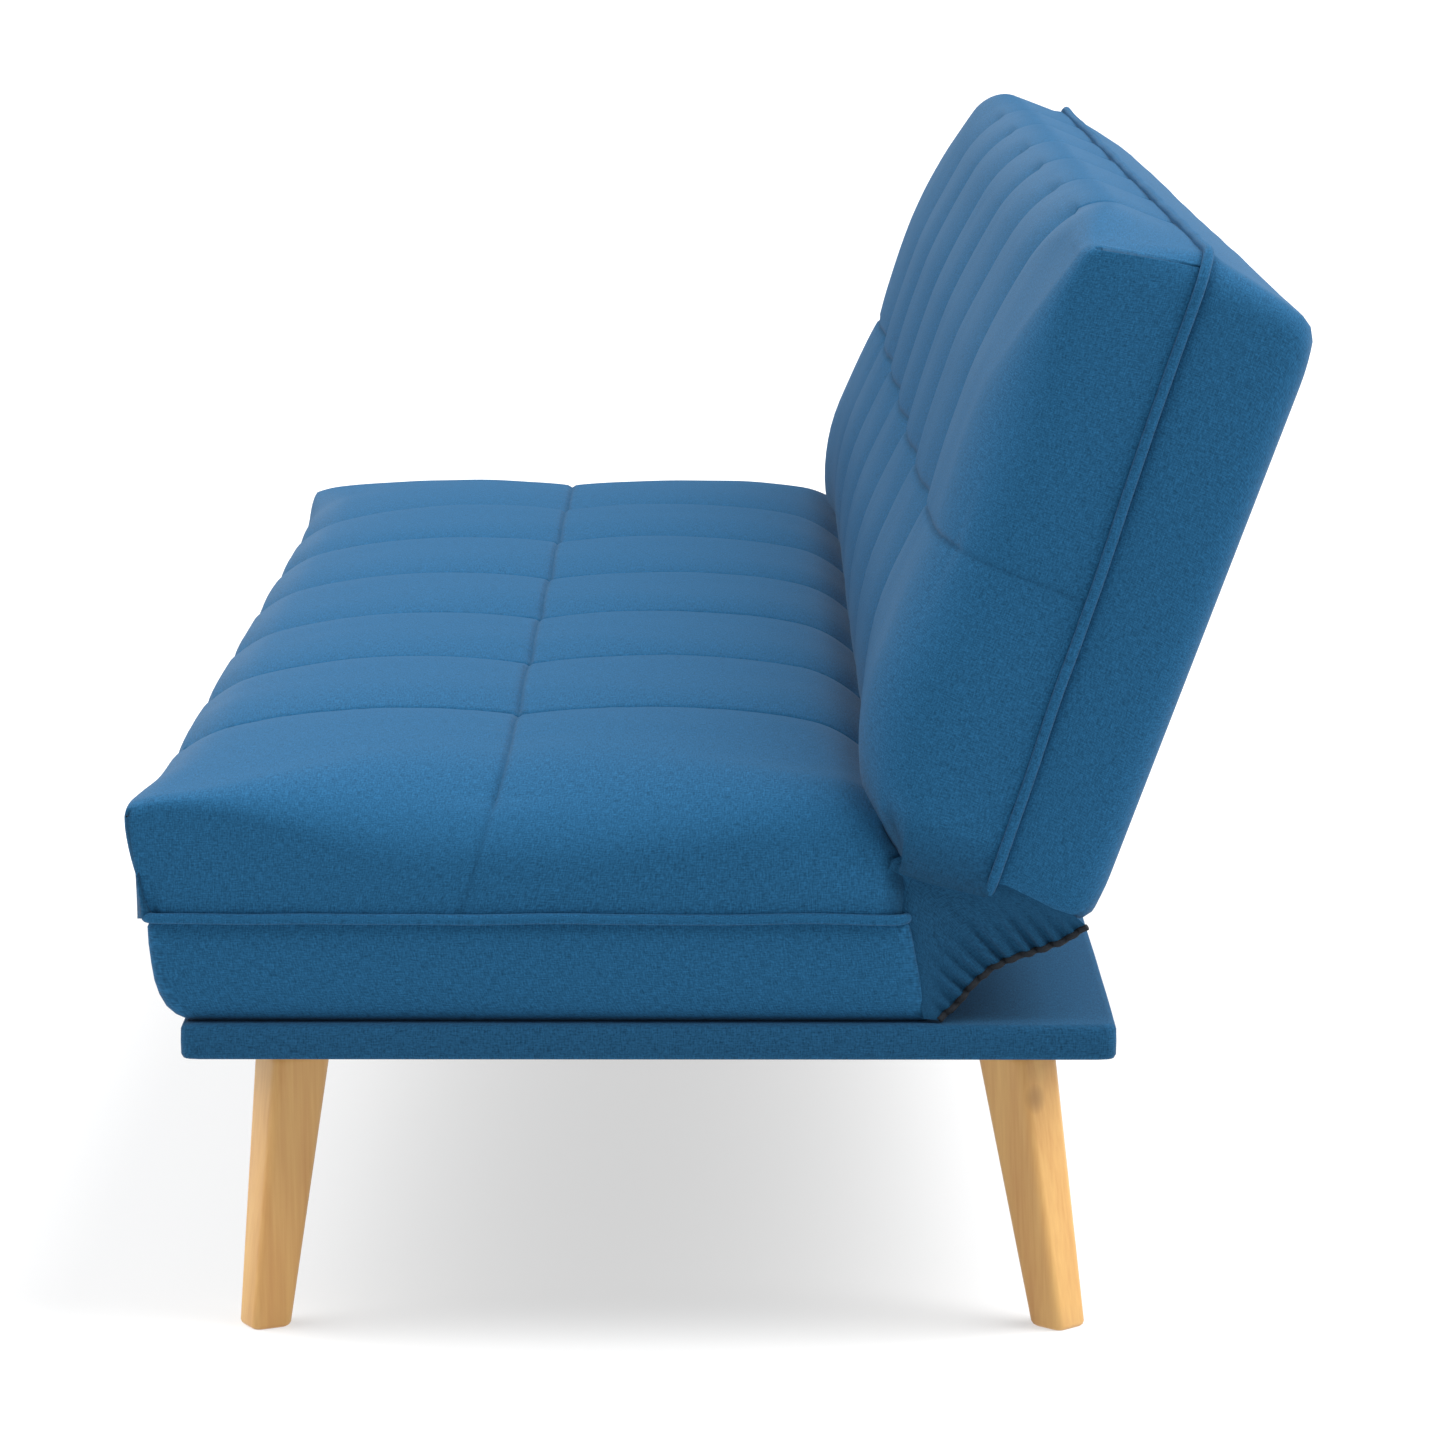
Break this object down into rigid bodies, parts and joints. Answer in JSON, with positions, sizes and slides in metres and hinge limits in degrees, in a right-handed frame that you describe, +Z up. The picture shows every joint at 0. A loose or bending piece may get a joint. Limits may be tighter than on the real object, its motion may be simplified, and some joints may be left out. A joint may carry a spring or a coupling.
{
  "type": "futon sofa bed",
  "caption": "Armless upholstered sofa bed: a channel-quilted seat on a wrapped base board with splayed wooden legs, and a quilted back that folds flat on ratchet hinges.",
  "frame": {"origin": "Centre of the footprint of the sofa's box, on the floor.", "axes": "+X runs along the sofa, towards its left end as seen by someone sitting on it; -Y is the front; +Z is up."},
  "size_m": [1.7536, 0.7704, 0.7399],
  "materials": {
    "quilted_fabric": "matte",
    "border_fabric": "matte",
    "piping_fabric": "matte",
    "base_fabric": "matte",
    "gusset_fabric": "matte",
    "elastic": "matte",
    "dust_cloth": "matte",
    "oiled_wood": "satin",
    "pine": "matte",
    "zinc_steel": "satin",
    "black_steel": "satin",
    "spring_steel": "satin",
    "clip_plastic": "matte",
    "foam": "matte",
    "felt": "matte",
    "webbing": "matte"
  },
  "bodies": {
    "base": {"base_board": "pine", "base_cover": "base_fabric", "base_dust_cover": "dust_cloth", "leg_front_left": "oiled_wood", "leg_front_right": "oiled_wood", "leg_rear_left": "oiled_wood", "leg_rear_right": "oiled_wood", "leg_t_nuts": "zinc_steel", "leg_hanger_bolts": "zinc_steel", "seat_rail_front": "pine", "seat_rail_rear": "pine", "seat_rail_left": "pine", "seat_rail_right": "pine", "seat_cross_rails": "pine", "seat_springs": "spring_steel", "seat_spring_clips": "clip_plastic", "seat_felt_pad": "felt", "seat_foam": "foam", "seat_cushion": "quilted_fabric", "seat_border": "border_fabric", "seat_piping": "piping_fabric", "seat_base_bolts": "zinc_steel", "seat_arm_left": "black_steel", "seat_arm_right": "black_steel", "pivot_bolt_left": "zinc_steel", "pivot_bolt_right": "zinc_steel", "pivot_nuts": "zinc_steel", "pivot_washers": "zinc_steel", "pawl_pin_left": "zinc_steel", "pawl_pin_right": "zinc_steel", "pawl_spring_left": "spring_steel", "pawl_spring_right": "spring_steel", "seat_arm_bolts": "zinc_steel", "gusset_left": "gusset_fabric", "gusset_right": "gusset_fabric", "gusset_elastic_left": "elastic", "gusset_elastic_right": "elastic"},
    "back": {"back_rail_top": "pine", "back_rail_bottom": "pine", "back_rail_left": "pine", "back_rail_right": "pine", "back_cross_rails": "pine", "back_webbing": "webbing", "back_felt_pad": "felt", "back_foam": "foam", "back_cushion": "quilted_fabric", "back_border": "border_fabric", "back_piping": "piping_fabric", "back_arm_left": "black_steel", "back_arm_right": "black_steel", "back_arm_bolts": "zinc_steel"},
    "pawl_left": {"pawl_left": "zinc_steel"},
    "pawl_right": {"pawl_right": "zinc_steel"}
  },
  "joints": [
    {"name": "back_fold", "type": "hinge", "parent": "base", "child": "back", "pos_m": [0, 0.155, 0.315], "axis": [-1, 0, 0], "range_deg": [-10, 68.7], "deforming": ["gusset_left", "gusset_right", "gusset_elastic_left", "gusset_elastic_right"]},
    {"name": "pawl_left_swing", "type": "hinge", "parent": "base", "child": "pawl_left", "pos_m": [-0.83, 0.117, 0.2894], "axis": [1, 0, 0], "range_deg": [0, 5], "stiffness_Nm_per_rad": 0.5},
    {"name": "pawl_right_swing", "type": "hinge", "parent": "base", "child": "pawl_right", "pos_m": [0.83, 0.117, 0.2894], "axis": [1, 0, 0], "range_deg": [0, 5], "stiffness_Nm_per_rad": 0.5}
  ]
}
